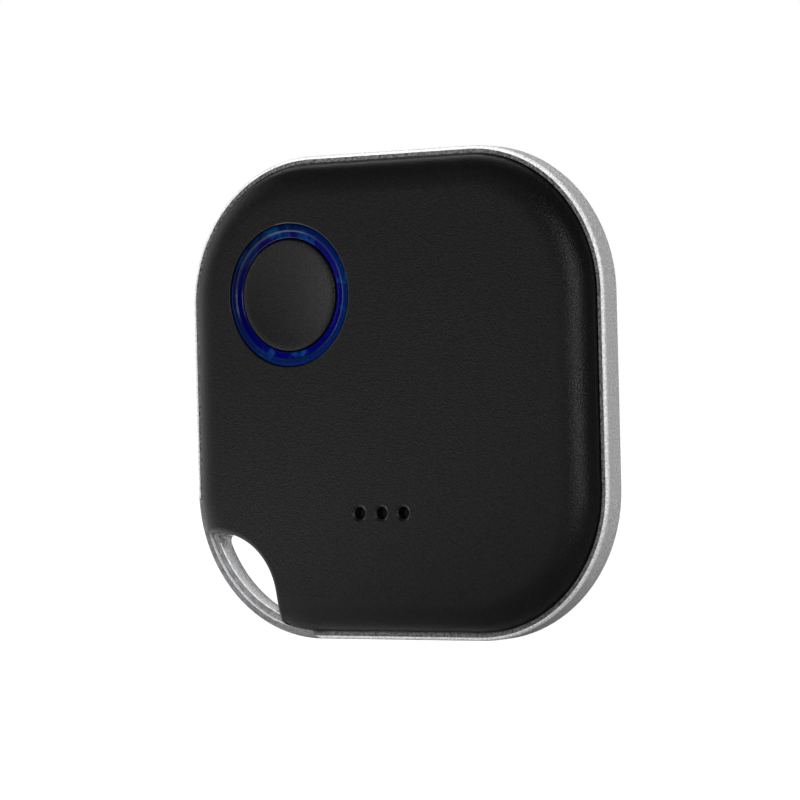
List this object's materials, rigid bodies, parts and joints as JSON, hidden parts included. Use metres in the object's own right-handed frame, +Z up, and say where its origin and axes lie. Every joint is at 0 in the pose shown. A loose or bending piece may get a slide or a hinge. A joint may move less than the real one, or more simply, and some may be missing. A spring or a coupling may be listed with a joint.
{
  "type": "bluetooth tracker tag",
  "caption": "Thin rounded-square wireless tracker tag with a ringed push button, sound holes and a corner keyring eyelet in a clear edge frame.",
  "frame": {"origin": "centre of the flat back face, the face that is stuck to a wall", "axes": "+Z up the face of the tag, +X to the right as a person facing the button sees it, +Y out of the back face; the front face with the button faces -Y"},
  "size_m": [0.036, 0.006, 0.036],
  "materials": {
    "black_plastic": "fine moulded texture, satin black",
    "clear_plastic": "clear moulded polycarbonate, polished",
    "blue_light_guide": "translucent tinted blue, polished",
    "switch_plastic": "moulded grey",
    "spring_steel": "bright rolled sheet",
    "dark_plastic": "plain moulded black",
    "board_laminate": "green solder resist over glass laminate",
    "led_resin": "clear resin over a white body",
    "chip_resin": "moulded epoxy",
    "crystal_lid": "satin metal lid",
    "antenna_ceramic": "fired white ceramic",
    "capacitor_ceramic": "fired brown ceramic",
    "resistor_film": "glazed black film",
    "ferrite": "sintered dark grey ferrite",
    "mesh_cloth": "fine woven dust cloth",
    "foam": "closed-cell sticky foam",
    "brass_sheet": "rolled brass",
    "piezo_silver": "silvered piezo ceramic",
    "gold_spring": "gold-flashed spring sheet",
    "cell_steel": "nickel-plated steel, fine circular brushing",
    "cell_seal": "moulded nylon"
  },
  "bodies": {
    "housing": {"front_cover": "black_plastic", "clear_frame": "clear_plastic", "light_ring": "blue_light_guide", "switch_body": "switch_plastic", "switch_dome": "spring_steel", "circuit_board": "board_laminate", "indicator_leds": "led_resin", "radio_chip": "chip_resin", "crystal": "crystal_lid", "chip_antenna": "antenna_ceramic", "capacitors": "capacitor_ceramic", "resistors": "resistor_film", "inductor": "ferrite", "sound_mesh": "mesh_cloth", "buzzer_gasket": "foam", "buzzer_plate": "brass_sheet", "buzzer_ceramic": "piezo_silver", "buzzer_springs": "gold_spring", "cell_cradle": "dark_plastic", "coin_cell_can": "cell_steel", "coin_cell_cap": "cell_steel", "coin_cell_gasket": "cell_seal", "positive_contact": "spring_steel", "negative_contact": "spring_steel"},
    "button": {"button_cap": "black_plastic"},
    "switch_key": {"switch_plunger": "dark_plastic"},
    "back_door": {"back_cover": "black_plastic", "battery_pad": "foam"}
  },
  "joints": [
    {"name": "button_press", "type": "slide", "parent": "housing", "child": "button", "axis": [0, 1, 0], "range_m": [0, 0.00025], "stiffness_N_per_m": 6000},
    {"name": "switch_travel", "type": "slide", "parent": "housing", "child": "switch_key", "axis": [0, 1, 0], "range_m": [0, 0.00025], "deforming": ["switch_dome"]},
    {"name": "back_cover_off", "type": "slide", "parent": "housing", "child": "back_door", "axis": [0, 1, 0], "range_m": [0, 0.012]}
  ],
  "couplings": [
    {"joint": "switch_travel", "follows": "button_press", "ratio": 1}
  ]
}
